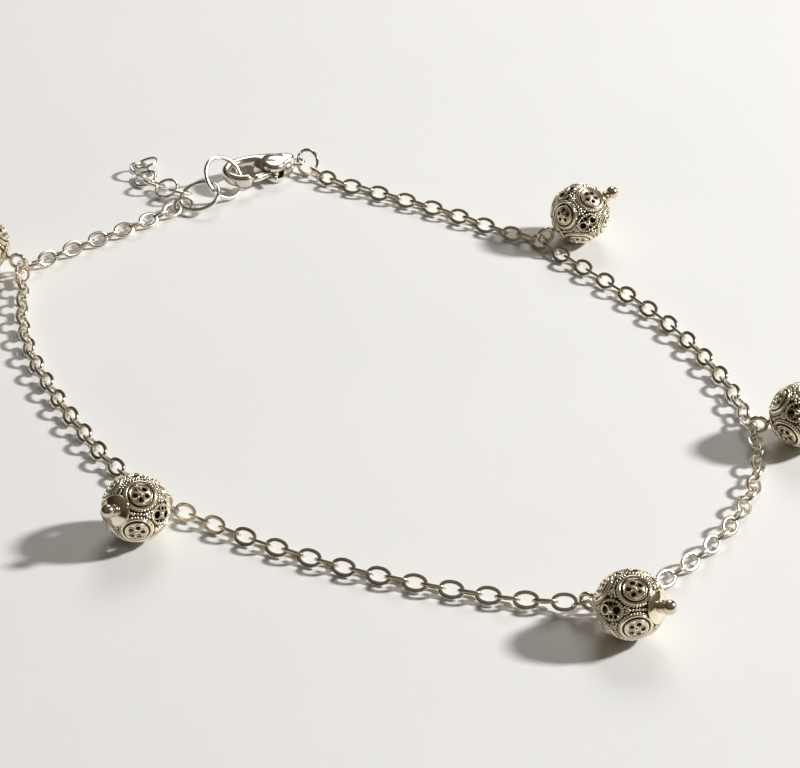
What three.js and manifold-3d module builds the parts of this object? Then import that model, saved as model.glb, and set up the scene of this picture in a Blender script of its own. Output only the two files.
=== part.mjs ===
// Charm anklet lying on a table: fine cable chain, five pierced ball charms, lobster clasp and extender.
// Millimetres, +Z up, table at z = 0, +X to the right and +Y away from the viewer.
import * as THREE from 'three';
import { ConvexGeometry } from 'three/addons/geometries/ConvexGeometry.js';
import { mergeVertices } from 'three/addons/utils/BufferGeometryUtils.js';
import Module from 'manifold-3d';

const wasm = await Module();
wasm.setup();
const deg = THREE.MathUtils.degToRad;

// Driving sizes
const BALL_R = 3.6;
const BALL_SHELL_R = 3.5;
const BALL_INSIDE_R = 3;
const POLE_HOLE_R = 0.6;
const CAP_R = 1.55;
const MEDALLION_R = 1.5;
const MEDALLION_TILT = 54.7356;
const RIM_W = 0.2;
const RIM_FOOT = 2.85;
const RIM_TOP = 3.3;
const MOON_R = 0.98;
const MOON_BAR = 0.45;
const SIDE_GAP_W = 0.95;
const SIDE_GAP_H = 1.25;
const TIDY = 0.004;
const SHAFT_R = 0.28;
const EYE_R = 0.88;
const EYE_WIRE = 0.45;
const EYE_OUT = 4.85;
const LINK_R = 0.76;
const LINK_STRAIGHT = 0.75;
const LINK_WIRE = 0.38;
const CHAIN_R = 0.73;
const CHAIN_Z = 0.74;
const CHAIN_TRIM = 1.66;
const CHAIN_STEP = 3.4;
const CLASP_H = 2.6;
const CLASP_EDGE = 0.3;
const SLOT = { low: 0.75, high: 1.85 };
const LEVER_ROOT = { low: 1.03, high: 1.57 };
const LEVER_GATE = { low: 1, high: 2.1 };
const PIVOT = { x: 3.7, y: 0.95, pin: 0.25, hole: 0.5, boss: 0.8 };
const TAIL_RING = { r: 0.75, wire: 0.5, z: 1.25 };

// Where the clasp lies: centre of its tail ring, and the heading of its hook
const CLASP = { x: -9.6, y: 45.9, heading: 207 };

// Charms: ball centre on the table, heading and rise of the pin toward its tip, turn of the ball on the pin,
// heading and roll of the chain link in the pin's eye, and the side of that link which goes through the eye
const CHARMS = [
  { name: 'back', x: 24.3, y: 29.4, heading: 18, rise: 28, turn: -11, link: -46, roll: 38, side: 1 },
  { name: 'right', x: 45.5, y: -12.4, heading: -7, rise: 20, turn: 50, link: -88, roll: 80, side: 1 },
  { name: 'front_right', x: 25.1, y: -44.4, heading: -34, rise: 20, turn: 68, link: -158, roll: 46, side: 1 },
  { name: 'front_left', x: -23.5, y: -28.9, heading: -127, rise: 26, turn: 10, link: 138, roll: 46, side: 1 },
  { name: 'left', x: -45.7, y: 22.2, heading: 168, rise: 20, turn: 60, link: 66, roll: 80, side: 1 },
];

// Links at the two ends of the chain
const END_LINKS = {
  clasp_end: { x: -7.15, y: 43.95, z: 0.8, heading: -48, roll: -51 },
  extender_end: { x: -23.1, y: 36.1, z: 0.88, heading: 210, roll: -62 },
};

// Chain lengths: the links they run between, and the points that they pass on the way
const LENGTHS = [
  {
    name: 'chain_back', from: 'clasp_end', to: 'back',
    way: [[-4.4, 41.4], [-0.8, 39.6], [7.5, 35.1], [14, 30.8]],
  },
  { name: 'chain_right', from: 'back', to: 'right', way: [[27.6, 17.7], [33.9, 8.6], [38.4, -1.7]] },
  {
    name: 'chain_front_right', from: 'right', to: 'front_right',
    way: [[40.6, -15.9], [39.1, -22.7], [35.3, -30], [30, -36.2], [25.5, -39.7]],
  },
  {
    name: 'chain_front', from: 'front_right', to: 'front_left',
    way: [[14, -40.1], [6.5, -38.1], [-0.8, -35.7], [-7.7, -32.6], [-14.5, -28.8]],
  },
  {
    name: 'chain_left', from: 'front_left', to: 'left',
    way: [[-27, -17.4], [-31, -10.8], [-34.6, -3.9], [-37.7, 3.3], [-39.6, 10.5], [-40.2, 16.5]],
  },
  { name: 'chain_back_left', from: 'left', to: 'extender_end', way: [[-34.5, 26.6], [-28.3, 31.4]] },
];

// Rings: centre, lift off the table, heading of the level line in the ring, lean of the ring, radius and wire
const RINGS = [
  { name: 'clasp_jump_ring', x: -8.35, y: 45.2, lift: 0, heading: -36, lean: 22, r: 1.5, wire: 0.42 },
  { name: 'extender_ring_1', x: -18.4, y: 40.1, lift: 0, heading: 54, lean: 39, r: 2.63, wire: 0.54 },
  { name: 'extender_ring_2', x: -21.1, y: 37.05, lift: 0.45, heading: -44, lean: 71, r: 2.38, wire: 0.54 },
  { name: 'tail_ring_1', x: -23.6, y: 38.65, lift: 0.3, heading: 157, lean: 60, r: 1.35, wire: 0.38 },
  { name: 'tail_ring_2', x: -25.35, y: 39.8, lift: 0.25, heading: 141, lean: -66, r: 1.35, wire: 0.38 },
  { name: 'tail_ring_3', x: -26.9, y: 41.1, lift: 0.05, heading: 140, lean: 61, r: 1.35, wire: 0.38 },
  { name: 'tail_ring_4', x: -28.2, y: 42.75, lift: 0, heading: 114, lean: -70, r: 1.35, wire: 0.38 },
  { name: 'tail_ring_5', x: -28.85, y: 44.6, lift: 0, heading: 91, lean: 65, r: 1.35, wire: 0.38 },
  { name: 'tail_ring_6', x: -28.4, y: 46.55, lift: 0, heading: 69, lean: -70, r: 1.35, wire: 0.38 },
];

// Clasp seen from above: x from the tail ring toward the hook, y toward the lever
const CLASP_OUTLINE = [
  [0.6, -0.5], [2.15, -1.3], [4.05, -2.05], [6, -2.4], [7.7, -2.35], [9.1, -1.75], [9.95, -0.55],
  [10.05, 0.75], [9.5, 2], [8.55, 2.7], [7.6, 2.85], [7.2, 2.4], [7.45, 1.8], [8.25, 1.65], [8.75, 1.05],
  [8.85, 0.1], [8.35, -0.7], [7.5, -1.1], [6.2, -1.2], [5.25, -0.9], [4.85, -0.2], [4.9, 0.55],
  [4.65, 1.3], [4.05, 1.95], [3.2, 2.05], [2.15, 1.45], [0.6, 0.5],
];
const SLOT_OUTLINE = [
  [2.55, 0.65], [2.9, 0], [3.55, -0.3], [5.8, -0.3], [5.8, 3.5], [3.2, 3.5], [2.7, 1.65],
];
const GATE_OUTLINE = [[5.3, 1.05], [6.1, 1.3], [7.1, 1.6], [6.9, 2.5], [6, 2.5], [5.3, 2.15]];
const ARM_OUTLINE = [[3.7, 0.35], [5.8, 1.25], [5.8, 2.1], [4.7, 1.95], [4.55, 3], [3.75, 3], [3.3, 1.45]];

// Finishes
const silver = () => new THREE.MeshStandardMaterial({ color: '#c9c6be', roughness: 0.25, metalness: 1 });
const warmSilver = () => new THREE.MeshStandardMaterial({ color: '#cfc6b2', roughness: 0.32, metalness: 1 });
const brightSilver = () => new THREE.MeshStandardMaterial({ color: '#d6d6d4', roughness: 0.2, metalness: 1 });

function bare(geometry) {
  const g = geometry.clone();
  g.deleteAttribute('normal');
  g.deleteAttribute('uv');
  return mergeVertices(g, 1e-4);
}

function solid(geometry) {
  const g = bare(geometry);
  const points = g.getAttribute('position');
  const index = Array.from(g.index.array);
  const triVerts = [];
  for (let i = 0; i < index.length; i += 3) {
    const [a, b, c] = index.slice(i, i + 3);
    if (a !== b && b !== c && c !== a) triVerts.push(a, b, c);
  }
  const [a, b, c] = [new THREE.Vector3(), new THREE.Vector3(), new THREE.Vector3()];
  let volume = 0;
  for (let i = 0; i < triVerts.length; i += 3) {
    a.fromBufferAttribute(points, triVerts[i]);
    b.fromBufferAttribute(points, triVerts[i + 1]);
    c.fromBufferAttribute(points, triVerts[i + 2]);
    volume += a.dot(b.cross(c));
  }
  if (volume < 0) triVerts.reverse();
  return new wasm.Manifold(new wasm.Mesh({
    numProp: 3,
    vertProperties: new Float32Array(points.array),
    triVerts: new Uint32Array(triVerts),
  }));
}

function shell(manifold) {
  const mesh = manifold.getMesh();
  const g = new THREE.BufferGeometry();
  g.setAttribute('position', new THREE.BufferAttribute(new Float32Array(mesh.vertProperties), 3));
  g.setIndex(new THREE.BufferAttribute(new Uint32Array(mesh.triVerts), 1));
  g.computeVertexNormals();
  return g;
}

function piece(name, geometry, material) {
  const mesh = new THREE.Mesh(geometry, material);
  mesh.name = name;
  return mesh;
}

const outline = (points) => new THREE.Shape(points.map(([x, y]) => new THREE.Vector2(x, y)));

function plate(points, low, high) {
  const g = new THREE.ExtrudeGeometry(outline(points), { depth: high - low, bevelEnabled: false });
  return g.translate(0, 0, low);
}

function rod(r, low, high, sides) {
  const g = new THREE.CylinderGeometry(r, r, high - low, sides).rotateX(deg(90));
  return g.translate(0, 0, (low + high) / 2);
}

// Stands a shape drawn about +Z on the ball, at an angle from the pole and round the pole
function stand(geometry, tilt, around, spin = 0) {
  return geometry.rotateZ(deg(spin)).rotateY(deg(tilt)).rotateZ(deg(around));
}

// Many-sided body with a hexagon at each corner of a cube, an octagon at each face and a square at each edge
function faceted(r) {
  const steps = [1, 1 + Math.SQRT2, 1 + 2 * Math.SQRT2];
  const size = r / Math.hypot(...steps);
  const points = [];
  for (const [i, j, k] of [[0, 1, 2], [1, 2, 0], [2, 0, 1], [0, 2, 1], [2, 1, 0], [1, 0, 2]]) {
    for (const sign of [1, -1]) {
      for (const side of [1, -1]) {
        for (const end of [1, -1]) {
          const corner = new THREE.Vector3(sign * steps[i], side * steps[j], end * steps[k]);
          points.push(corner.multiplyScalar(size));
        }
      }
    }
  }
  return new ConvexGeometry(points);
}

function polygon(r, sides) {
  return Array.from({ length: sides }, (_, i) => [
    r * Math.cos(deg(360 * (i + 0.5) / sides)), r * Math.sin(deg(360 * (i + 0.5) / sides)),
  ]);
}

// Pierced ball: thin shell, domed caps at the poles, eight medallions with a raised rim and two half moons
// cut through each, and four open gaps round the middle
function ball() {
  let body = solid(faceted(BALL_SHELL_R));
  const dome = [[0, 2.6], [CAP_R, 2.6], [CAP_R * 0.98, 3.22], [CAP_R * 0.66, 3.47], [0.4, 3.6], [0, 3.6]]
    .map(([r, z]) => new THREE.Vector2(r, z));
  for (const turn of [90, -90]) {
    body = body.add(solid(new THREE.LatheGeometry(dome, 10).rotateX(deg(turn))));
  }
  body = body.subtract(solid(faceted(BALL_INSIDE_R)));
  const rim = outline(polygon(MEDALLION_R, 8));
  rim.holes.push(outline(polygon(MEDALLION_R - RIM_W, 8)));
  const moon = [[MOON_BAR / 2, -MOON_R * 0.98]];
  for (const angle of [-40, 0, 40]) {
    moon.push([MOON_R * Math.cos(deg(angle)), MOON_R * Math.sin(deg(angle))]);
  }
  moon.push([MOON_BAR / 2, MOON_R * 0.98]);
  for (const tilt of [MEDALLION_TILT, 180 - MEDALLION_TILT]) {
    for (const around of [45, 135, 225, 315]) {
      const ring = new THREE.ExtrudeGeometry(rim, { depth: RIM_TOP - RIM_FOOT, bevelEnabled: false });
      body = body.add(solid(stand(ring.translate(0, 0, RIM_FOOT), tilt, around)));
      for (const spin of [45, 225]) {
        body = body.subtract(solid(stand(plate(moon, 2, 5), tilt, around, spin)));
      }
    }
  }
  const diamond = [[-SIDE_GAP_H, 0], [0, -SIDE_GAP_W], [SIDE_GAP_H, 0], [0, SIDE_GAP_W]];
  for (const around of [0, 90, 180, 270]) {
    body = body.subtract(solid(stand(plate(diamond, 2, 5), 90, around)));
  }
  return shell(body.subtract(solid(rod(POLE_HOLE_R, -5, 5, 8))).simplify(TIDY));
}

// Head pin: round tip on a flared collar, shaft through the ball, and the eye turned at its inner end
function pin() {
  const profile = [
    [0, -4.05], [SHAFT_R, -4.05], [SHAFT_R, 3.8], [0.66, 3.8], [0.6, 3.92], [0.46, 3.98], [0.68, 4.2],
    [0.75, 4.5], [0.66, 4.85], [0.4, 5.12], [0, 5.22],
  ].map(([r, z]) => new THREE.Vector2(r, z));
  const stem = solid(new THREE.LatheGeometry(profile, 8).rotateX(deg(90)));
  const eye = new THREE.TorusGeometry(EYE_R, EYE_WIRE / 2, 6, 12).rotateX(deg(90)).translate(0, 0, -EYE_OUT);
  return shell(stem.add(solid(eye)));
}

// Oval chain link lying flat along +X
function link() {
  const g = new THREE.TorusGeometry(LINK_R, LINK_WIRE / 2, 5, 12).rotateZ(deg(15));
  const points = g.getAttribute('position');
  for (let i = 0; i < points.count; i += 1) {
    points.setX(i, points.getX(i) + Math.sign(points.getX(i)) * LINK_STRAIGHT / 2);
  }
  return bare(g);
}

function heading(angle) {
  return new THREE.Vector3(Math.cos(deg(angle)), Math.sin(deg(angle)), 0);
}

const anklet = new THREE.Group();
anklet.name = 'charm_anklet';
const stations = {};

function addLink(name, at, course, roll) {
  const mesh = piece(`link_${name}`, link(), silver());
  mesh.position.copy(at);
  mesh.rotation.set(deg(roll), 0, deg(course), 'ZYX');
  stations[name] = at;
  anklet.add(mesh);
}

const ballShape = ball();
const pinShape = pin();
for (const c of CHARMS) {
  const charm = new THREE.Group();
  charm.name = `charm_${c.name}`;
  charm.position.set(c.x, c.y, BALL_R);
  charm.rotation.set(0, deg(90 - c.rise), deg(c.heading), 'ZYX');
  const bead = piece(`ball_${c.name}`, ballShape.clone(), warmSilver());
  bead.rotation.z = deg(c.turn);
  charm.add(bead, piece(`pin_${c.name}`, pinShape.clone(), warmSilver()));
  anklet.add(charm);
  const axis = heading(c.heading).multiplyScalar(Math.cos(deg(c.rise)));
  axis.z = Math.sin(deg(c.rise));
  const upper = heading(c.link + 90 * c.side).multiplyScalar(Math.cos(deg(c.roll)));
  upper.z = Math.sin(deg(c.roll));
  const at = new THREE.Vector3(c.x, c.y, BALL_R).addScaledVector(axis, -EYE_OUT - 0.3);
  addLink(c.name, at.addScaledVector(upper, -LINK_R), c.link, c.roll * c.side);
}
for (const [name, e] of Object.entries(END_LINKS)) {
  addLink(name, new THREE.Vector3(e.x, e.y, e.z), e.heading, e.roll);
}

// Chain lengths, each as thick as its links are wide
for (const l of LENGTHS) {
  const ends = [stations[l.from], stations[l.to]].map((p) => new THREE.Vector3(p.x, p.y, CHAIN_Z));
  const way = l.way.map(([x, y]) => new THREE.Vector3(x, y, CHAIN_Z));
  const route = new THREE.CatmullRomCurve3([ends[0], ...way, ends[1]]);
  const length = route.getLength();
  const steps = Math.round((length - 2 * CHAIN_TRIM) / CHAIN_STEP);
  const points = [];
  for (let i = 0; i <= steps; i += 1) {
    points.push(route.getPointAt((CHAIN_TRIM + (length - 2 * CHAIN_TRIM) * i / steps) / length));
  }
  const section = [];
  for (let i = 0; i < 8; i += 1) {
    const angle = deg(22.5 + 45 * i);
    const corner = CHAIN_R / Math.cos(deg(22.5));
    section.push([corner * Math.cos(angle), corner * Math.sin(angle)]);
  }
  const tube = new THREE.ExtrudeGeometry(outline(section), {
    steps, bevelEnabled: false, extrudePath: new THREE.CatmullRomCurve3(points),
  });
  anklet.add(piece(l.name, bare(tube), silver()));
}

for (const r of RINGS) {
  const hoop = new THREE.TorusGeometry(r.r, r.wire / 2, 5, 16).rotateX(deg(90));
  const mesh = piece(r.name, bare(hoop), brightSilver());
  mesh.position.set(r.x, r.y, r.r * Math.cos(deg(r.lean)) + r.wire / 2 + r.lift);
  mesh.rotation.set(deg(-r.lean), 0, deg(r.heading), 'ZYX');
  anklet.add(mesh);
}

// Lobster clasp: body with tail ring, hook and lever cheeks in one, and the sprung lever on its pin
const clasp = new THREE.Group();
clasp.name = 'clasp';
clasp.position.set(CLASP.x, CLASP.y, 0);
clasp.rotation.z = deg(CLASP.heading);
const bodyShape = new THREE.ExtrudeGeometry(outline(CLASP_OUTLINE), {
  depth: CLASP_H - 2 * CLASP_EDGE, bevelThickness: CLASP_EDGE, bevelSize: CLASP_EDGE * 0.7,
  bevelOffset: -CLASP_EDGE * 0.7, bevelSegments: 1,
}).translate(0, 0, CLASP_EDGE);
const underHook = [[6, -0.5], [7.8, 1.05], [12, 1.05], [12, -0.5]];
const relief = plate(underHook, -4, 4).rotateX(deg(90));
const tailRing = new THREE.TorusGeometry(TAIL_RING.r, TAIL_RING.wire / 2, 6, 12).translate(0, 0, TAIL_RING.z);
let body = solid(bodyShape).subtract(solid(relief)).subtract(solid(plate(SLOT_OUTLINE, SLOT.low, SLOT.high)));
body = body.add(solid(rod(PIVOT.pin, 0.4, CLASP_H - 0.4, 8).translate(PIVOT.x, PIVOT.y, 0)));
body = body.add(solid(tailRing));
clasp.add(piece('clasp_body', shell(body), brightSilver()));
let lever = solid(rod(PIVOT.boss, LEVER_ROOT.low, LEVER_ROOT.high, 12).translate(PIVOT.x, PIVOT.y, 0));
lever = lever.add(solid(plate(ARM_OUTLINE, LEVER_ROOT.low, LEVER_ROOT.high)));
lever = lever.add(solid(plate(GATE_OUTLINE, LEVER_GATE.low, LEVER_GATE.high)));
lever = lever.subtract(solid(rod(PIVOT.hole, 0, 3, 10).translate(PIVOT.x, PIVOT.y, 0)));
clasp.add(piece('clasp_lever', shell(lever), brightSilver()));
anklet.add(clasp);

export default anklet;
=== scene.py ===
import math
import random

import bpy
from mathutils import Matrix, Vector


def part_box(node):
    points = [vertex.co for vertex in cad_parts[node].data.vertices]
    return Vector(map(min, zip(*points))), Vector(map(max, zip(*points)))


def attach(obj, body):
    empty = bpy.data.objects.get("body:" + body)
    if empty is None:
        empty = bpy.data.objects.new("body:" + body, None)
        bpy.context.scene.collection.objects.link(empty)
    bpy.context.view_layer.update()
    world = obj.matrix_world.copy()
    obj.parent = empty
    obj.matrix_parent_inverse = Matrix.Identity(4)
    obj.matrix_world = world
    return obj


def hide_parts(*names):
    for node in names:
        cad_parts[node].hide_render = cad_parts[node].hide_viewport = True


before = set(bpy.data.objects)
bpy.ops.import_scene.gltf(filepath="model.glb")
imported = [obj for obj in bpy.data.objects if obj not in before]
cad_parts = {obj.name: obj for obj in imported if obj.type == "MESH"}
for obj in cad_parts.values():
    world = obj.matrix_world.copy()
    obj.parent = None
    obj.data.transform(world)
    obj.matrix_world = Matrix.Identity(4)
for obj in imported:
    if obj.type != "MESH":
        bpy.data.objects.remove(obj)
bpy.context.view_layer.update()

# All pieces are modelled in millimetres and brought to metres when they are set in their place.
MM = 0.001
random.seed(7)

# Chain links: half the length and width to the middle of the wire, the wire, the height at which a link's
# middle lies, the greatest spacing of the links, and their roll to either side with the play in it
LINK_LONG = 1.15
LINK_WIDE = 0.76
LINK_WIRE = 0.42
LINK_REST = 0.8
LINK_PITCH = 1.91
LINK_ROLL = 45
ROLL_PLAY = 5
# The link's wire is pressed flat from one height towards another, above and below its middle
FLAT_FROM = 0.13
FLAT_AT = 0.15
# Links over which a standing link's height and lean fade out, and points on a line between two given ones
HEIGHT_FADE = 2.5
LEAN_FADE = 3
LINE_POINTS = 24

# Charms: centre of the ball, heading of the pin, its rise off the table and the ball's turn about it
BALL_Z = 3.6
CHARMS = {
    "back": (24.3, 29.4, 18, 28, -11),
    "right": (45.5, -12.4, -7, 20, 50),
    "front_right": (25.1, -44.4, -34, 20, 68),
    "front_left": (-23.5, -28.9, -127, 26, 10),
    "left": (-45.7, 22.2, 168, 20, 60),
}
# Head pin: its eye and its tip, and their distances from the ball's centre
EYE_R = 0.88
EYE_WIRE = 0.45
TIP_R = 0.75
TIP_OUT = 4.47
EYE_OUT = 4.85

# Filigree ball: radii of its shell, the medallions' plates, the caps and the middles of the grains
SHELL_R = 3.28
PLATE_R = 3.4
CAP_R = 3.58
GRAIN_R = 3.34
BALL_WALL = 0.3
BEAD_R = 0.14
# Directions of the medallions, the side openings and the caps
CORNERS = [(x, y, z) for x in (1, -1) for y in (1, -1) for z in (1, -1)]
SIDES = [(1, 0, 0), (0, 1, 0), (-1, 0, 0), (0, -1, 0)]
POLES = [(0, 0, 1), (0, 0, -1)]
# Holes in the shell, and the lowest and highest point of the punches for it and for the ornament
MEDALLION_HOLE_R = 1
POLE_HOLE_R = 0.6
OPENING_STRETCH = (1.2, 0.95, 1)
SHELL_PUNCH = (2.5, 4.5)
ORNAMENT_PUNCH = (2, 5)
# Medallion: the half angle of its plate, and its petals' distance from its axis in millimetres and degrees
PLATE_ANGLE = 19
PETALS = 5
PETAL_R = 0.28
PETAL_OUT = 0.62
PETAL_ANGLE = 10.4
CURL_R = 0.31
CURL_WIRE = 0.13
CURL_OUT = 3.43
BOSS_R = 0.2
BOSS_OUT = 3.42
# Wires laid on the ball: radius of the ring, thickness, and distance from the ball's centre
PLATE_EDGE = (1.1, 0.22, 3.42)
PLATE_BORDER = (1.48, 0.28, 3.4)
CAP_EDGE = (1.58, 0.2, 3.52)
# Cap: its half angle and the bore for the pin
CAP_ANGLE = 26
CAP_BORE_R = 0.45
# Side opening: half its width and height in degrees, the grains round it, the grain in its middle, and the
# loops of wire in it: the axis and angle that they are turned by from the middle, and their radius
OPENING_WIDE = 17
OPENING_TALL = 22
OPENING_GRAINS = 24
MIDDLE_GRAIN_R = 0.29
LOOPS = [("Y", 11.4, 0.45), ("Z", 10.5, 0.28)]
# Rows of grains round a medallion or a cap: angle from its axis and number of grains
FIRST_ROW = (29.3, 34)
SECOND_ROW = (34.8, 41)
CAP_ROW = (31, 32)
# Rows from a cap to a side opening, and from one opening to the next: first and last angle and number
DOWN_ROW = (36, 63, 6)
LEVEL_ROW = (22.5, 67.5, 9)
# Angles that the rows keep from the axes of other ornament
FIRST_FROM_CAPS = 29.5
SECOND_FROM_CAPS = 32
SECOND_FROM_OPENINGS = 23.5
SECOND_FROM_OTHERS = 38.5
CAP_FROM_MEDALLIONS = 33
# The radius up to which the tarnish is whole, and the rise over which it wears off
TARNISH_R = 3.27
TARNISH_RISE = 0.15

# Links that stand alone: heading and roll of each, a charm's or one at an end of the chain
STATIONS = {
    "clasp_end": (-48, -51),
    "back": (-46, 38),
    "right": (-88, 80),
    "front_right": (-158, 46),
    "front_left": (138, 46),
    "left": (66, 80),
    "extender_end": (210, -62),
}

# Lengths of chain: the links they run between, and the points that they pass on the way
LENGTHS = {
    "back": ("clasp_end", "back", ((-4.4, 41.4), (-0.8, 39.6), (7.5, 35.1), (14, 30.8))),
    "right": ("back", "right", ((27.6, 17.7), (33.9, 8.6), (38.4, -1.7))),
    "front_right": (
        "right", "front_right", ((40.6, -15.9), (39.1, -22.7), (35.3, -30), (30, -36.2), (25.5, -39.7)),
    ),
    "front": (
        "front_right", "front_left",
        ((14, -40.1), (6.5, -38.1), (-0.8, -35.7), (-7.7, -32.6), (-14.5, -28.8)),
    ),
    "left": (
        "front_left", "left",
        ((-27, -17.4), (-31, -10.8), (-34.6, -3.9), (-37.7, 3.3), (-39.6, 10.5), (-40.2, 16.5)),
    ),
    "back_left": ("left", "extender_end", ((-34.5, 26.6), (-28.3, 31.4))),
}

# Rings: centre, lift off the table, heading of the level line in the ring, lean, radius and wire
RINGS = {
    "clasp_jump_ring": (-8.35, 45.2, 0, -36, 22, 1.5, 0.42),
    "extender_ring_1": (-18.4, 40.1, 0, 54, 39, 2.63, 0.54),
    "extender_ring_2": (-21.1, 37.05, 0.45, -44, 71, 2.38, 0.54),
    "tail_ring_1": (-23.6, 38.65, 0.3, 157, 60, 1.35, 0.38),
    "tail_ring_2": (-25.35, 39.8, 0.25, 141, -66, 1.35, 0.38),
    "tail_ring_3": (-26.9, 41.1, 0.05, 140, 61, 1.35, 0.38),
    "tail_ring_4": (-28.2, 42.75, 0, 114, -70, 1.35, 0.38),
    "tail_ring_5": (-28.85, 44.6, 0, 91, 65, 1.35, 0.38),
    "tail_ring_6": (-28.4, 46.55, 0, 69, -70, 1.35, 0.38),
}

# Clasp: the place of its tail ring, the heading of its hook, its height, the lever's rivet, the tail ring
CLASP_X = -9.6
CLASP_Y = 45.9
CLASP_HEADING = 207
CLASP_H = 2.6
RIVET_X = 3.7
RIVET_Y = 0.95
TAIL_R = 0.75
TAIL_WIRE = 0.5
TAIL_Z = 1.25

# Clasp seen from above: x from the tail ring toward the hook, y toward the lever
CLASP_OUTLINE = [
    (0.6, -0.5), (2.15, -1.3), (4.05, -2.05), (6, -2.4), (7.7, -2.35), (9.1, -1.75), (9.95, -0.55),
    (10.05, 0.75), (9.5, 2), (8.55, 2.7), (7.6, 2.85), (7.2, 2.4), (7.45, 1.8), (8.25, 1.65), (8.75, 1.05),
    (8.85, 0.1), (8.35, -0.7), (7.5, -1.1), (6.2, -1.2), (5.25, -0.9), (4.85, -0.2), (4.9, 0.55),
    (4.65, 1.3), (4.05, 1.95), (3.2, 2.05), (2.15, 1.45), (0.6, 0.5),
]
# The part of it that goes down to the table; the hook beyond stands clear, so that a ring passes under it
FOOT_OUTLINE = [
    (0.7, -0.4), (2.15, -1.15), (4.05, -1.9), (6, -2.25), (7, -2.1), (7.2, -1.65), (6.6, -1.35), (5.25, -1.1),
    (4.65, -0.25), (4.7, 0.5), (4.5, 1.15), (4, 1.75), (3.2, 1.9), (2.15, 1.3), (0.7, 0.4),
]
# Height of the hook's underside, and the lowest and highest corners of the lever's slot
HOOK_Z = 1.05
SLOT_LOW = (2.7, -0.3, 0.75)
SLOT_HIGH = (5.8, 3.5, 1.85)
# How far the edges of the hook's plate and of the foot are rounded, and where the foot ends inside the body
HOOK_ROUNDING = 0.55
FOOT_ROUNDING = 0.4
FOOT_TOP = CLASP_H - 0.3
# The domed crown over the lever's housing: its middle, turn and half sizes
CROWN_PLACE = (3.2, -0.1, 1.3)
CROWN_TURN = -14
CROWN_SIZE = (2.6, 1.9, 1.5)
# The castings are remeshed at this size and smoothed this many times
CAST_VOXEL = 0.05
BODY_SMOOTHING = 36
LEVER_SMOOTHING = 14
# The lever: radius, lowest and highest point of its root, bore, and place and half sizes of its tab
ROOT_R = 0.76
ROOT_REACH = (1.05, 1.55)
ROOT_BORE_R = 0.3
TAB_PLACE = (4.15, 2.15, 1.3)
TAB_SIZE = (0.4, 0.8, 0.26)
# The seam of a ring: its half angle, its depth and where it is on the ring
SEAM_ANGLE = 3
SEAM_DEPTH = 0.05
SEAM_TURN = 150


def turn(degrees, axis):
    return Matrix.Rotation(math.radians(degrees), 4, axis)


def shift(x, y, z):
    return Matrix.Translation((x, y, z))


def stretch(x, y, z):
    return Matrix.Diagonal((x, y, z, 1))


def take(*pieces):
    """Selects only these pieces, with the first of them active."""
    bpy.ops.object.select_all(action="DESELECT")
    for piece in pieces:
        piece.select_set(True)
    bpy.context.view_layer.objects.active = pieces[0]


def start(name):
    """The primitive that was just added, named, with its place and turn put into its mesh."""
    piece = bpy.context.object
    piece.name = name
    take(piece)
    bpy.ops.object.transform_apply(location=True, rotation=True, scale=True)
    return piece


def pick(piece, kind, test):
    """Opens a piece in edit mode with the corners or faces that pass a test of their place selected."""
    take(piece)
    bpy.ops.object.mode_set(mode="EDIT")
    bpy.ops.mesh.select_mode(type=kind)
    bpy.ops.mesh.select_all(action="DESELECT")
    bpy.ops.object.mode_set(mode="OBJECT")
    if kind == "VERT":
        for corner in piece.data.vertices:
            corner.select = test(corner.co)
    else:
        for face in piece.data.polygons:
            face.select = test(face.center)
    bpy.ops.object.mode_set(mode="EDIT")


def close():
    """Merges doubles, turns the faces outwards and leaves edit mode."""
    bpy.ops.mesh.select_all(action="SELECT")
    bpy.ops.mesh.remove_doubles(threshold=0.0005)
    bpy.ops.mesh.normals_make_consistent(inside=False)
    bpy.ops.object.mode_set(mode="OBJECT")


def worked(piece, kind, **settings):
    """Adds a modifier with these settings and applies it."""
    take(piece)
    modifier = piece.modifiers.new(kind.lower(), kind)
    for key, value in settings.items():
        setattr(modifier, key, value)
    bpy.ops.object.modifier_apply(modifier=modifier.name)
    return piece


def copied(piece, place):
    """A copy with a mesh of its own, moved to its place."""
    other = piece.copy()
    other.data = piece.data.copy()
    bpy.context.collection.objects.link(other)
    other.data.transform(place)
    return other


def joined(name, pieces):
    take(*pieces)
    if len(pieces) > 1:
        bpy.ops.object.join()
    piece = bpy.context.object
    piece.name = name
    return piece


def scrapped(*pieces):
    for piece in pieces:
        bpy.data.objects.remove(piece)


def pierced(piece, punches):
    """Cuts punches that don't touch each other out of a piece."""
    punch = joined("punch", punches)
    worked(piece, "BOOLEAN", operation="DIFFERENCE", solver="MANIFOLD", object=punch)
    scrapped(punch)
    return piece


def sphere(name, radius, segments, rings):
    bpy.ops.object.select_all(action="DESELECT")
    bpy.ops.mesh.primitive_uv_sphere_add(radius=radius, segments=segments, ring_count=rings)
    return start(name)


def rod(name, radius, low, high, sides):
    bpy.ops.object.select_all(action="DESELECT")
    bpy.ops.mesh.primitive_cylinder_add(
        vertices=sides, radius=radius, depth=high - low, location=(0, 0, (low + high) / 2)
    )
    return start(name)


def hoop(name, radius, wire, around, across):
    bpy.ops.object.select_all(action="DESELECT")
    bpy.ops.mesh.primitive_torus_add(
        major_radius=radius, minor_radius=wire / 2, major_segments=around, minor_segments=across
    )
    return start(name)


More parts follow.
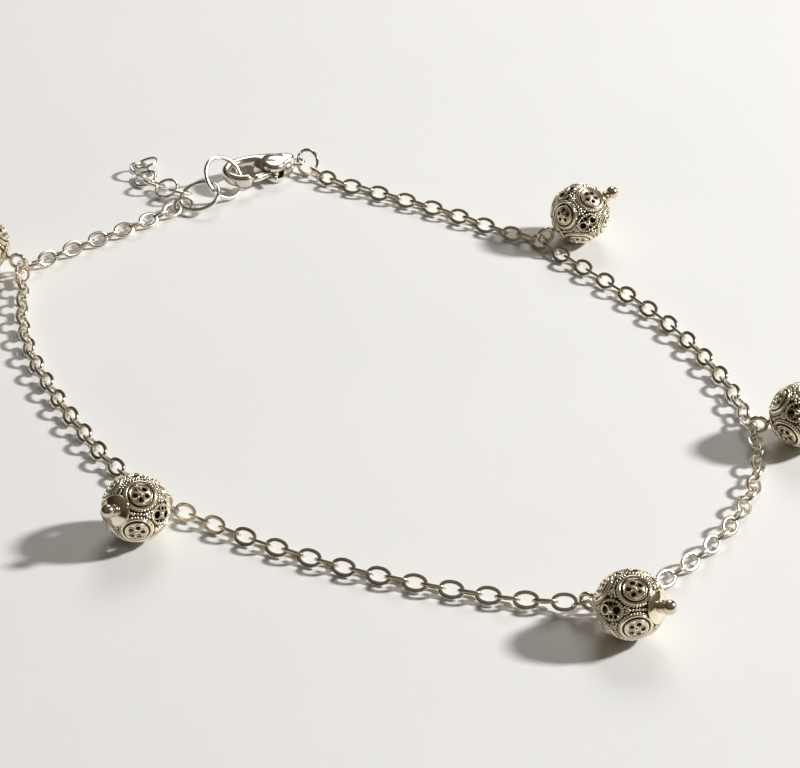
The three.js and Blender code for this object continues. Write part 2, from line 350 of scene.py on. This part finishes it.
def lathed(name, profile, sides):
    """A disc drawn out ring by ring through the radius and height of each row."""
    radius, height = profile[0]
    bpy.ops.object.select_all(action="DESELECT")
    bpy.ops.mesh.primitive_circle_add(
        vertices=sides, radius=radius, fill_type="NGON", location=(0, 0, height)
    )
    piece = start(name)
    bpy.ops.object.mode_set(mode="EDIT")
    bpy.ops.mesh.select_all(action="SELECT")
    for next_radius, next_height in profile[1:]:
        bpy.ops.mesh.extrude_region_move(TRANSFORM_OT_translate={"value": (0, 0, next_height - height)})
        factor = next_radius / radius
        bpy.ops.transform.resize(value=(factor, factor, 1), center_override=(0, 0, 0))
        radius, height = next_radius, next_height
    close()
    return piece


def drawn(name, stops):
    """A bar of changing thickness drawn along a smooth line of stops: x, y, z and radius."""
    line = bpy.data.curves.new(name, "CURVE")
    line.dimensions = "3D"
    line.bevel_depth = 1
    line.bevel_resolution = 5
    line.resolution_u = 8
    line.use_fill_caps = True
    spline = line.splines.new("NURBS")
    spline.points.add(len(stops) - 1)
    for point, (x, y, z, radius) in zip(spline.points, stops):
        point.co = (x, y, z, 1)
        point.radius = radius
    spline.order_u = 4
    spline.use_endpoint_u = True
    piece = bpy.data.objects.new(name, line)
    bpy.context.collection.objects.link(piece)
    take(piece)
    bpy.ops.object.convert(target="MESH")
    bpy.ops.object.mode_set(mode="EDIT")
    close()
    return piece


def set_in_place(piece, place, body, finish, nodes):
    """Brings a finished piece to its place in metres, smooths it and says what it stands for."""
    piece.data.transform(stretch(MM, MM, MM) @ place)
    piece.data.materials.clear()
    piece.data.materials.append(finish)
    take(piece)
    bpy.ops.object.shade_smooth_by_angle(angle=math.radians(50))
    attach(piece, body)
    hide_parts(*nodes)


class Value:
    """A shader socket that sums and products can be written with."""

    def __init__(self, finish, socket):
        self.finish = finish
        self.socket = socket

    def reckoned(self, operation, first, second):
        return self.finish.node("ShaderNodeMath", {"operation": operation}, {0: first, 1: second})

    def __add__(self, other):
        return self.reckoned("ADD", self, other)

    def __sub__(self, other):
        return self.reckoned("SUBTRACT", self, other)

    def __mul__(self, other):
        return self.reckoned("MULTIPLY", self, other)


class Finish:
    """A material whose nodes are added one by one."""

    def __init__(self, name):
        self.material = bpy.data.materials.new(name)
        self.material.use_nodes = True
        self.tree = self.material.node_tree
        self.shader = self.tree.nodes["Principled BSDF"]
        coordinates = self.tree.nodes.new("ShaderNodeTexCoord")
        self.place = Value(self, coordinates.outputs["Object"])

    def node(self, kind, settings, sockets, out=0):
        made = self.tree.nodes.new(kind)
        for key, value in settings.items():
            setattr(made, key, value)
        for key, value in sockets.items():
            if isinstance(value, Value):
                self.tree.links.new(value.socket, made.inputs[key])
            else:
                made.inputs[key].default_value = value
        return Value(self, made.outputs[out])

    def noise(self, scale, detail, roughness):
        return self.node(
            "ShaderNodeTexNoise", {},
            {"Vector": self.place, "Scale": scale, "Detail": detail, "Roughness": roughness},
        )

    def spread(self, value, low, high, new_low, new_high):
        return self.node(
            "ShaderNodeMapRange", {"clamp": True},
            {"Value": value, "From Min": low, "From Max": high, "To Min": new_low, "To Max": new_high},
        )

    def mixed(self, factor, first, second):
        return self.node(
            "ShaderNodeMix", {"data_type": "RGBA"}, {0: factor, 6: (*first, 1), 7: (*second, 1)}, out=2
        )

    def bumped(self, height, strength, distance):
        return self.node(
            "ShaderNodeBump", {}, {"Height": height, "Strength": strength, "Distance": distance}
        )

    def feed(self, socket, value):
        if isinstance(value, Value):
            self.tree.links.new(value.socket, self.shader.inputs[socket])
        else:
            self.shader.inputs[socket].default_value = value


def polished_silver(name, light, dull, smooth, rough):
    """Polished silver: faint tarnish in patches, and hairline wear in the gloss."""
    finish = Finish(name)
    patches = finish.noise(420, 4, 0.6)
    hairs = finish.noise(5200, 2, 0.5)
    tarnish = finish.spread(patches, 0.48, 0.75, 0, 1)
    finish.feed("Base Color", finish.mixed(tarnish, light, dull))
    finish.feed("Metallic", 1)
    finish.feed("Roughness", finish.spread(patches * 0.7 + hairs * 0.3, 0.3, 0.7, smooth, rough))
    finish.feed("Normal", finish.bumped(patches * 0.6 + hairs * 0.4, 0.12, 0.00002))
    return finish.material


def antique_silver(name):
    """Oxidised filigree: black-brown in the hollows, worn to pale silver on what stands proud."""
    finish = Finish(name)
    relief = finish.node(
        "ShaderNodeAttribute", {"attribute_name": "relief", "attribute_type": "GEOMETRY"}, {}, out="Fac"
    )
    patches = finish.noise(900, 4, 0.6)
    grain = finish.noise(6000, 3, 0.6)
    worn = finish.spread(relief + (patches - 0.5) * 0.6, 0.15, 0.85, 0, 1)
    finish.feed("Base Color", finish.mixed(worn, (0.11, 0.078, 0.043), (0.93, 0.85, 0.67)))
    finish.feed("Metallic", 1)
    finish.feed("Roughness", finish.spread(relief + (grain - 0.5) * 0.5, 0.5, 2, 0.42, 0.1))
    finish.feed("Normal", finish.bumped(grain, 0.2, 0.00003))
    return finish.material


chain_silver = polished_silver("chain silver", (0.9, 0.84, 0.73), (0.66, 0.59, 0.48), 0.14, 0.3)
ring_silver = polished_silver("ring silver", (0.87, 0.83, 0.755), (0.64, 0.59, 0.5), 0.14, 0.28)
# The pin's silver is painted darker and browner than the chain's. This is painted shade for the dark room
# that its small round tip reflects.
pin_silver_painted_dark = polished_silver("pin silver", (0.78, 0.69, 0.54), (0.46, 0.38, 0.27), 0.12, 0.26)
filigree_silver = antique_silver("filigree silver")


# Chain
def link_blank():
    """One oval link lying flat, its long way along x, of a wire that is pressed flat above and below."""
    bpy.ops.object.select_all(action="DESELECT")
    bpy.ops.curve.primitive_bezier_circle_add(radius=1)
    oval = bpy.context.object
    bpy.ops.object.mode_set(mode="EDIT")
    bpy.ops.curve.select_all(action="SELECT")
    bpy.ops.transform.resize(value=(LINK_LONG, LINK_WIDE, 1), center_override=(0, 0, 0))
    bpy.ops.object.mode_set(mode="OBJECT")
    oval.data.resolution_u = 7
    oval.data.bevel_depth = LINK_WIRE / 2
    oval.data.bevel_resolution = 3
    take(oval)
    bpy.ops.object.convert(target="MESH")
    link = start("link")
    for side in (1, -1):
        pick(link, "VERT", lambda p: p.z * side > FLAT_FROM)
        bpy.ops.transform.resize(value=(1, 1, 0.2), center_override=(0, 0, side * FLAT_AT))
        close()
    return link


def middle(node):
    low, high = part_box(node)
    return (low + high) / 2 / MM


def smooth_line(points, per_span):
    """Points on a smooth line through the given ones."""
    padded = [points[0] * 2 - points[1], *points, points[-1] * 2 - points[-2]]
    line = []
    for a, b, c, d in zip(padded, padded[1:], padded[2:], padded[3:]):
        for i in range(per_span):
            t = i / per_span
            bend = (a * 2 - b * 5 + c * 4 - d) * t ** 2 + (b * 3 - a - c * 3 + d) * t ** 3
            line.append(b + ((c - a) * t + bend) / 2)
    line.append(points[-1])
    return line


def along(line, distance):
    """The point at a distance along a line."""
    for a, b in zip(line, line[1:]):
        span = (b - a).length
        if distance <= span:
            return a.lerp(b, distance / span)
        distance -= span
    return line[-1]


def chain_length(name, link):
    """The links between two standing links, turned by turns to either side."""
    first, last, way = LENGTHS[name]
    ends = [middle("link_" + first), middle("link_" + last)]
    rolls = [STATIONS[first][1], STATIONS[last][1]]
    sides = [1 if roll > 0 else -1 for roll in rolls]
    leans = [roll - side * LINK_ROLL for roll, side in zip(rolls, sides)]
    flat = [Vector((p.x, p.y, 0)) for p in ends]
    line = smooth_line([flat[0], *(Vector((x, y, 0)) for x, y in way), flat[1]], LINE_POINTS)
    length = sum((b - a).length for a, b in zip(line, line[1:]))
    steps = math.ceil(length / LINK_PITCH)
    if (steps % 2 == 0) != (sides[0] == sides[1]):
        steps += 1
    pitch = length / steps
    spots = []
    for i in range(steps + 1):
        spot = along(line, i * pitch)
        rise = (ends[0].z - LINK_REST) * math.exp(-i / HEIGHT_FADE)
        rise += (ends[1].z - LINK_REST) * math.exp((i - steps) / HEIGHT_FADE)
        spots.append(Vector((spot.x, spot.y, LINK_REST + rise)))
    links = []
    for i in range(1, steps):
        way_on = spots[i + 1] - spots[i - 1]
        heading = math.degrees(math.atan2(way_on.y, way_on.x))
        slope = math.degrees(math.atan2(way_on.z, way_on.xy.length))
        side = sides[0] * (-1) ** i
        lean = leans[0] * math.exp(-i / LEAN_FADE) + leans[1] * math.exp((i - steps) / LEAN_FADE)
        roll = side * LINK_ROLL + lean + random.uniform(-ROLL_PLAY, ROLL_PLAY)
        across = LINK_WIDE * math.sin(math.radians(roll))
        lengthwise = LINK_LONG * math.sin(math.radians(slope))
        lying = math.hypot(across, lengthwise) + LINK_WIRE / 2
        spot = shift(spots[i].x, spots[i].y, max(spots[i].z, lying))
        links.append(copied(link, spot @ turn(heading, "Z") @ turn(-slope, "Y") @ turn(roll, "X")))
    piece = joined("chain_links_" + name, links)
    set_in_place(piece, Matrix.Identity(4), "anklet", chain_silver, ["chain_" + name])


# Charms
def bead_blank():
    """One grain of the beaded rows, its lower half flattened and spread a little."""
    bead = sphere("bead", BEAD_R, 8, 5)
    pick(bead, "VERT", lambda p: p.z < -0.01)
    bpy.ops.transform.resize(value=(1.1, 1.1, 0.7), center_override=(0, 0, 0))
    close()
    return bead


def outward(direction):
    """The turn that brings +z to a direction."""
    return Vector((0, 0, 1)).rotation_difference(Vector(direction).normalized()).to_matrix().to_4x4()


def beaded(bead, directions, radius):
    return [copied(bead, outward(way) @ shift(0, 0, radius)) for way in directions]


def ring_of_ways(axis, angle, count):
    """Directions evenly round an axis, at an angle from it in degrees."""
    lift = outward(axis)
    ways = []
    for i in range(count):
        way = turn(360 * i / count, "Z") @ turn(angle, "Y") @ Vector((0, 0, 1))
        ways.append(lift @ way)
    return ways


def row_of_ways(first, last, begin, end, count):
    """Directions along the arc from one axis to another, between two angles in degrees."""
    ways = []
    for i in range(count):
        angle = math.radians(begin + (end - begin) * i / (count - 1))
        ways.append(Vector(first) * math.cos(angle) + Vector(last) * math.sin(angle))
    return ways


def clear_of(axes, angle, ways):
    """The directions that keep an angle in degrees from all these axes."""
    kept = []
    for way in ways:
        if min(math.degrees(way.angle(Vector(axis))) for axis in axes) > angle:
            kept.append(way)
    return kept


def ball_shell():
    """The hollow ball under the ornament, open under each medallion, at the sides and at the poles."""
    shell = sphere("shell", SHELL_R, 64, 32)
    worked(shell, "SOLIDIFY", thickness=BALL_WALL, offset=-1)
    round_punch = rod("round punch", MEDALLION_HOLE_R, *SHELL_PUNCH, 24)
    oval_punch = rod("oval punch", 1, *SHELL_PUNCH, 24)
    oval_punch.data.transform(stretch(*OPENING_STRETCH))
    pole_punch = rod("pole punch", POLE_HOLE_R, *SHELL_PUNCH, 16)
    punches = [copied(round_punch, outward(way)) for way in CORNERS]
    for i in range(4):
        punches.append(copied(oval_punch, turn(90 * i, "Z") @ turn(90, "Y")))
    punches += [copied(pole_punch, outward(way)) for way in POLES]
    scrapped(round_punch, oval_punch, pole_punch)
    return pierced(shell, punches)


def dome(name, radius, angle):
    """A round piece of a hollow ball, out to an angle in degrees from its top."""
    piece = sphere(name, radius, 48, 48)
    pick(piece, "VERT", lambda p: True)
    bpy.ops.mesh.bisect(
        plane_co=(0, 0, radius * math.cos(math.radians(angle))), plane_no=(0, 0, 1), clear_inner=True
    )
    bpy.ops.object.mode_set(mode="OBJECT")
    return worked(piece, "SOLIDIFY", thickness=BALL_WALL, offset=-1)


def laid_wire(name, radius, wire, out):
    """A ring of wire laid round the top of a ball, at a distance from the ball's centre."""
    ring = hoop(name, radius, wire, 48, 8)
    ring.data.transform(shift(0, 0, math.sqrt(out ** 2 - radius ** 2)))
    return ring


def medallion():
    """A domed plate pierced by petals, a curl of wire round each, a boss and two wires round them all."""
    plate = dome("plate", PLATE_R, PLATE_ANGLE)
    petal = rod("petal", PETAL_R, *ORNAMENT_PUNCH, 14)
    pick(petal, "VERT", lambda p: p.x < -0.05)
    bpy.ops.transform.resize(value=(1.2, 0.7, 1), center_override=(0, 0, 0))
    close()
    around = [turn(90 + 360 * i / PETALS, "Z") for i in range(PETALS)]
    petals = [copied(petal, place @ shift(PETAL_OUT, 0, 0)) for place in around]
    scrapped(petal)
    pierced(plate, petals)
    curl = hoop("curl", CURL_R, CURL_WIRE, 18, 6)
    curls = [copied(curl, place @ turn(PETAL_ANGLE, "Y") @ shift(0, 0, CURL_OUT)) for place in around]
    scrapped(curl)
    boss = sphere("boss", BOSS_R, 12, 8)
    boss.data.transform(shift(0, 0, BOSS_OUT) @ stretch(1, 1, 0.6))
    edge = laid_wire("edge", *PLATE_EDGE)
    border = laid_wire("border", *PLATE_BORDER)
    return joined("medallion", [plate, boss, edge, border, *curls])


def polar_cap():
    """The smooth dome at a pole, bored for the pin, with a wire at its edge."""
    cap = dome("cap", CAP_R, CAP_ANGLE)
    pierced(cap, [rod("bore", CAP_BORE_R, *ORNAMENT_PUNCH, 20)])
    edge = laid_wire("edge", *CAP_EDGE)
    return joined("cap", [cap, edge])


def scrollwork():
    """What fills the opening at the +x side: loops of wire above, below and beside a grain."""
    loop = hoop("loop", 1, 0.3, 24, 6)
    grain = sphere("grain", MIDDLE_GRAIN_R, 12, 8)
    grain.data.transform(shift(GRAIN_R, 0, 0) @ stretch(0.7, 1, 1))
    parts = [grain]
    for side in (1, -1):
        for axis, angle, radius in LOOPS:
            facing = turn(side * angle, axis) @ shift(GRAIN_R, 0, 0) @ turn(90, "Y")
            parts.append(copied(loop, facing @ stretch(radius, radius, 0.5)))
    scrapped(loop)
    return joined("scrollwork", parts)


def filigree_ball():
    """The whole ball, made once: shell, eight medallions, two caps and the rows of grains round them."""
    parts = [ball_shell()]
    plate, cap, loops, bead = medallion(), polar_cap(), scrollwork(), bead_blank()
    parts += [copied(plate, outward(way)) for way in CORNERS]
    parts += [copied(cap, outward(way)) for way in POLES]
    rows = []
    for way in CORNERS:
        rows += clear_of(POLES, FIRST_FROM_CAPS, ring_of_ways(way, *FIRST_ROW))
        others = [other for other in CORNERS if other != way]
        second_row = clear_of(SIDES, SECOND_FROM_OPENINGS, ring_of_ways(way, *SECOND_ROW))
        second_row = clear_of(POLES, SECOND_FROM_CAPS, second_row)
        rows += clear_of(others, SECOND_FROM_OTHERS, second_row)
    for way in POLES:
        rows += clear_of(CORNERS, CAP_FROM_MEDALLIONS, ring_of_ways(way, *CAP_ROW))
    for i, side in enumerate(SIDES):
        facing = turn(90 * i, "Z")
        parts.append(copied(loops, facing))
        for pole in POLES:
            rows += row_of_ways(pole, side, *DOWN_ROW)
        rows += row_of_ways(side, SIDES[(i + 1) % 4], *LEVEL_ROW)
        for k in range(OPENING_GRAINS):
            angle = math.radians(360 * k / OPENING_GRAINS)
            across = turn(OPENING_WIDE * math.cos(angle), "Z")
            up = turn(OPENING_TALL * math.sin(angle), "Y")
            rows.append(facing @ across @ up @ Vector((1, 0, 0)))
    parts += beaded(bead, rows, GRAIN_R)
    scrapped(plate, cap, loops, bead)
    ball = joined("filigree ball", parts)
    relief = ball.data.attributes.new("relief", "FLOAT", "POINT")
    for corner, value in zip(ball.data.vertices, relief.data):
        value.value = min(2, max(0, (corner.co.length - TARNISH_R) / TARNISH_RISE))
    return ball


def head_pin():
    """The pin through a ball: shaft, flared collar, round tip and the eye at the other end."""
    profile = [
        (0.28, -4.1), (0.28, 3.52), (0.64, 3.54), (0.68, 3.64), (0.64, 3.78), (0.5, 3.88), (0.42, 3.94),
    ]
    for angle in range(-40, 91, 13):
        profile.append((
            TIP_R * math.cos(math.radians(angle)), TIP_OUT + TIP_R * math.sin(math.radians(angle)),
        ))
    shaft = lathed("shaft", profile, 24)
    eye = hoop("eye", EYE_R, EYE_WIRE, 40, 12)
    eye.data.transform(shift(0, 0, -EYE_OUT) @ turn(90, "X"))
    return joined("head pin", [shaft, eye])


# Clasp
def cut_out(name, outline, low, high, soften):
    """A plate sawn to a smooth outline, with its edges rounded over."""
    line = bpy.data.curves.new(name, "CURVE")
    line.dimensions = "2D"
    line.fill_mode = "BOTH"
    line.extrude = (high - low) / 2 - soften
    line.bevel_depth = soften
    line.bevel_resolution = 4
    line.offset = -soften
    line.resolution_u = 5
    spline = line.splines.new("BEZIER")
    spline.bezier_points.add(len(outline) - 1)
    for point, (x, y) in zip(spline.bezier_points, outline):
        point.co = (x, y, 0)
        point.handle_left_type = "AUTO"
        point.handle_right_type = "AUTO"
    spline.use_cyclic_u = True
    piece = bpy.data.objects.new(name, line)
    bpy.context.collection.objects.link(piece)
    take(piece)
    bpy.ops.object.convert(target="MESH")
    bpy.ops.object.mode_set(mode="EDIT")
    close()
    piece.data.transform(shift(0, 0, (low + high) / 2))
    return piece


def block(name, low, high):
    bpy.ops.object.select_all(action="DESELECT")
    bpy.ops.mesh.primitive_cube_add(size=1)
    piece = start(name)
    low, high = Vector(low), Vector(high)
    piece.data.transform(shift(*((low + high) / 2)) @ stretch(*(high - low)))
    return piece


def clasp_body():
    """The cast body of the clasp: spine and hook in one plate, the lever's housing, rivet and tail ring."""
    plate = cut_out("plate", CLASP_OUTLINE, HOOK_Z, CLASP_H, HOOK_ROUNDING)
    foot = cut_out("foot", FOOT_OUTLINE, 0, FOOT_TOP, FOOT_ROUNDING)
    crown = sphere("crown", 1, 40, 24)
    crown.data.transform(shift(*CROWN_PLACE) @ turn(CROWN_TURN, "Z") @ stretch(*CROWN_SIZE))
    pierced(crown, [block("below", (-3, -5, -2), (9, 5, 1))])
    body = joined("clasp body", [plate, foot, crown])
    worked(body, "REMESH", mode="VOXEL", voxel_size=CAST_VOXEL)
    worked(body, "SMOOTH", factor=0.5, iterations=BODY_SMOOTHING)
    pierced(body, [block("slot", SLOT_LOW, SLOT_HIGH)])
    rivet_profile = [(0.25, 0.3), (0.25, 2.32), (0.4, 2.34), (0.4, 2.42), (0.3, 2.5), (0.12, 2.54)]
    rivet = lathed("rivet", rivet_profile, 20)
    rivet.data.transform(shift(RIVET_X, RIVET_Y, 0))
    tail = hoop("tail", TAIL_R, TAIL_WIRE, 36, 12)
    tail.data.transform(shift(0, 0, TAIL_Z))
    return joined("clasp_body_cast", [body, rivet, tail])


def clasp_lever():
    """The lever: root on the rivet, the gate that shuts the hook and the tab for a thumbnail."""
    gate = drawn("gate", [
        (RIVET_X, RIVET_Y, 1.3, 0.3), (4.6, 1.3, 1.3, 0.36), (5.5, 1.6, 1.45, 0.48), (6.2, 1.85, 1.55, 0.5),
        (6.75, 2, 1.55, 0.47), (6.97, 2.06, 1.55, 0.28),
    ])
    root = rod("root", ROOT_R, *ROOT_REACH, 28)
    root.data.transform(shift(RIVET_X, RIVET_Y, 0))
    tab = sphere("tab", 1, 20, 12)
    tab.data.transform(shift(*TAB_PLACE) @ stretch(*TAB_SIZE))
    lever = joined("clasp_lever_cast", [gate, root, tab])
    worked(lever, "REMESH", mode="VOXEL", voxel_size=CAST_VOXEL)
    worked(lever, "SMOOTH", factor=0.5, iterations=LEVER_SMOOTHING)
    bore = rod("bore", ROOT_BORE_R, 0, 3, 20)
    bore.data.transform(shift(RIVET_X, RIVET_Y, 0))
    return pierced(lever, [bore])


def ring_blank(radius, wire):
    """A jump ring standing upright, with the fine line where its wire ends meet."""
    ring = hoop("ring", radius, wire, 72, 12)
    pick(ring, "FACE", lambda p: p.x > 0 and abs(math.atan2(p.y, p.x)) < math.radians(SEAM_ANGLE))
    bpy.ops.transform.shrink_fatten(value=-SEAM_DEPTH)
    close()
    ring.data.transform(turn(SEAM_TURN, "Z"))
    ring.data.transform(turn(90, "X"))
    return ring


link = link_blank()
for name in LENGTHS:
    chain_length(name, link)
for name, (heading, roll) in STATIONS.items():
    piece = copied(link, Matrix.Identity(4))
    piece.name = "bail_" + name
    place = shift(*middle("link_" + name)) @ turn(heading, "Z") @ turn(roll, "X")
    set_in_place(piece, place, "anklet", chain_silver, ["link_" + name])
scrapped(link)

ball = filigree_ball()
pin = head_pin()
for name, (x, y, heading, rise, spin) in CHARMS.items():
    stand = shift(x, y, BALL_Z) @ turn(heading, "Z") @ turn(90 - rise, "Y")
    piece = copied(ball, Matrix.Identity(4))
    piece.name = "filigree_ball_" + name
    set_in_place(piece, stand @ turn(spin, "Z"), "anklet", filigree_silver, ["ball_" + name])
    piece = copied(pin, Matrix.Identity(4))
    piece.name = "head_pin_" + name
    set_in_place(piece, stand, "anklet", pin_silver_painted_dark, ["pin_" + name])
scrapped(ball, pin)

for name, (x, y, lift, heading, lean, radius, wire) in RINGS.items():
    piece = ring_blank(radius, wire)
    piece.name = name + "_wire"
    z = radius * math.cos(math.radians(lean)) + wire / 2 + lift
    place = shift(x, y, z) @ turn(heading, "Z") @ turn(-lean, "X")
    set_in_place(piece, place, "anklet", ring_silver, [name])

clasp_place = shift(CLASP_X, CLASP_Y, 0) @ turn(CLASP_HEADING, "Z")
set_in_place(clasp_body(), clasp_place, "anklet", ring_silver, ["clasp_body"])
set_in_place(clasp_lever(), clasp_place, "lever", ring_silver, ["clasp_lever"])


# Floor, light and camera
def floor_paint():
    finish = Finish("floor paint")
    mottle = finish.noise(30, 4, 0.6)
    grain = finish.noise(900, 3, 0.6)
    finish.feed("Base Color", finish.mixed(mottle, (0.83, 0.832, 0.828), (0.88, 0.882, 0.878)))
    finish.feed("Roughness", finish.spread(grain, 0.3, 0.7, 0.55, 0.7))
    finish.feed("Normal", finish.bumped(grain, 0.06, 0.0001))
    return finish.material


def lamp(name, place, size, power, colour):
    """A round soft lamp that is aimed at the middle of the loop."""
    bpy.ops.object.select_all(action="DESELECT")
    bpy.ops.object.light_add(type="AREA", location=place)
    light = bpy.context.object
    light.name = name
    light.data.shape = "DISK"
    light.data.size = size
    light.data.energy = power
    light.data.color = colour
    light.rotation_euler = (-Vector(place)).to_track_quat("-Z", "Y").to_euler()


bpy.ops.object.select_all(action="DESELECT")
bpy.ops.mesh.primitive_plane_add(size=6)
floor = start("floor")
floor.data.materials.append(floor_paint())

lamp("window", place=(1.0, 0.14, 0.65), size=0.13, power=18, colour=(1, 0.992, 0.97))
lamp("sky panel", place=(0.1, 0.85, 0.75), size=0.6, power=3.5, colour=(1, 0.99, 0.98))

# The room: dim near the floor and lighter above, a little more so on the window's side
ROOM_LOW = (0.02, (0.03, 0.024, 0.018, 1))
ROOM_HIGH = (0.75, (0.14, 0.12, 0.095, 1))
ROOM_LEAN = 0.3
world = bpy.data.worlds.new("room")
bpy.context.scene.world = world
world.use_nodes = True
room = world.node_tree
sky = room.nodes.new("ShaderNodeTexCoord")
split = room.nodes.new("ShaderNodeSeparateXYZ")
walls = room.nodes.new("ShaderNodeValToRGB")
for element, (position, colour) in zip(walls.color_ramp.elements, (ROOM_LOW, ROOM_HIGH)):
    element.position = position
    element.color = colour
room.links.new(sky.outputs["Generated"], split.inputs[0])
brighter_side = room.nodes.new("ShaderNodeMath")
brighter_side.operation = "MULTIPLY_ADD"
brighter_side.inputs[1].default_value = ROOM_LEAN
room.links.new(split.outputs["X"], brighter_side.inputs[0])
room.links.new(split.outputs["Z"], brighter_side.inputs[2])
room.links.new(brighter_side.outputs[0], walls.inputs["Fac"])
room.links.new(walls.outputs["Color"], room.nodes["Background"].inputs["Color"])

CAMERA_PLACE = (3.04 * MM, -250.9 * MM, 168.36 * MM)
CAMERA_TILT = 56
CAMERA_LENS = 123.75
bpy.ops.object.select_all(action="DESELECT")
bpy.ops.object.camera_add(location=CAMERA_PLACE, rotation=(math.radians(CAMERA_TILT), 0, 0))
camera = bpy.context.object
camera.name = "camera"
camera.data.sensor_width = 36
camera.data.lens = CAMERA_LENS
camera.data.clip_start = 0.01
camera.data.clip_end = 20
bpy.context.scene.camera = camera
bpy.context.scene.view_settings.view_transform = "Standard"
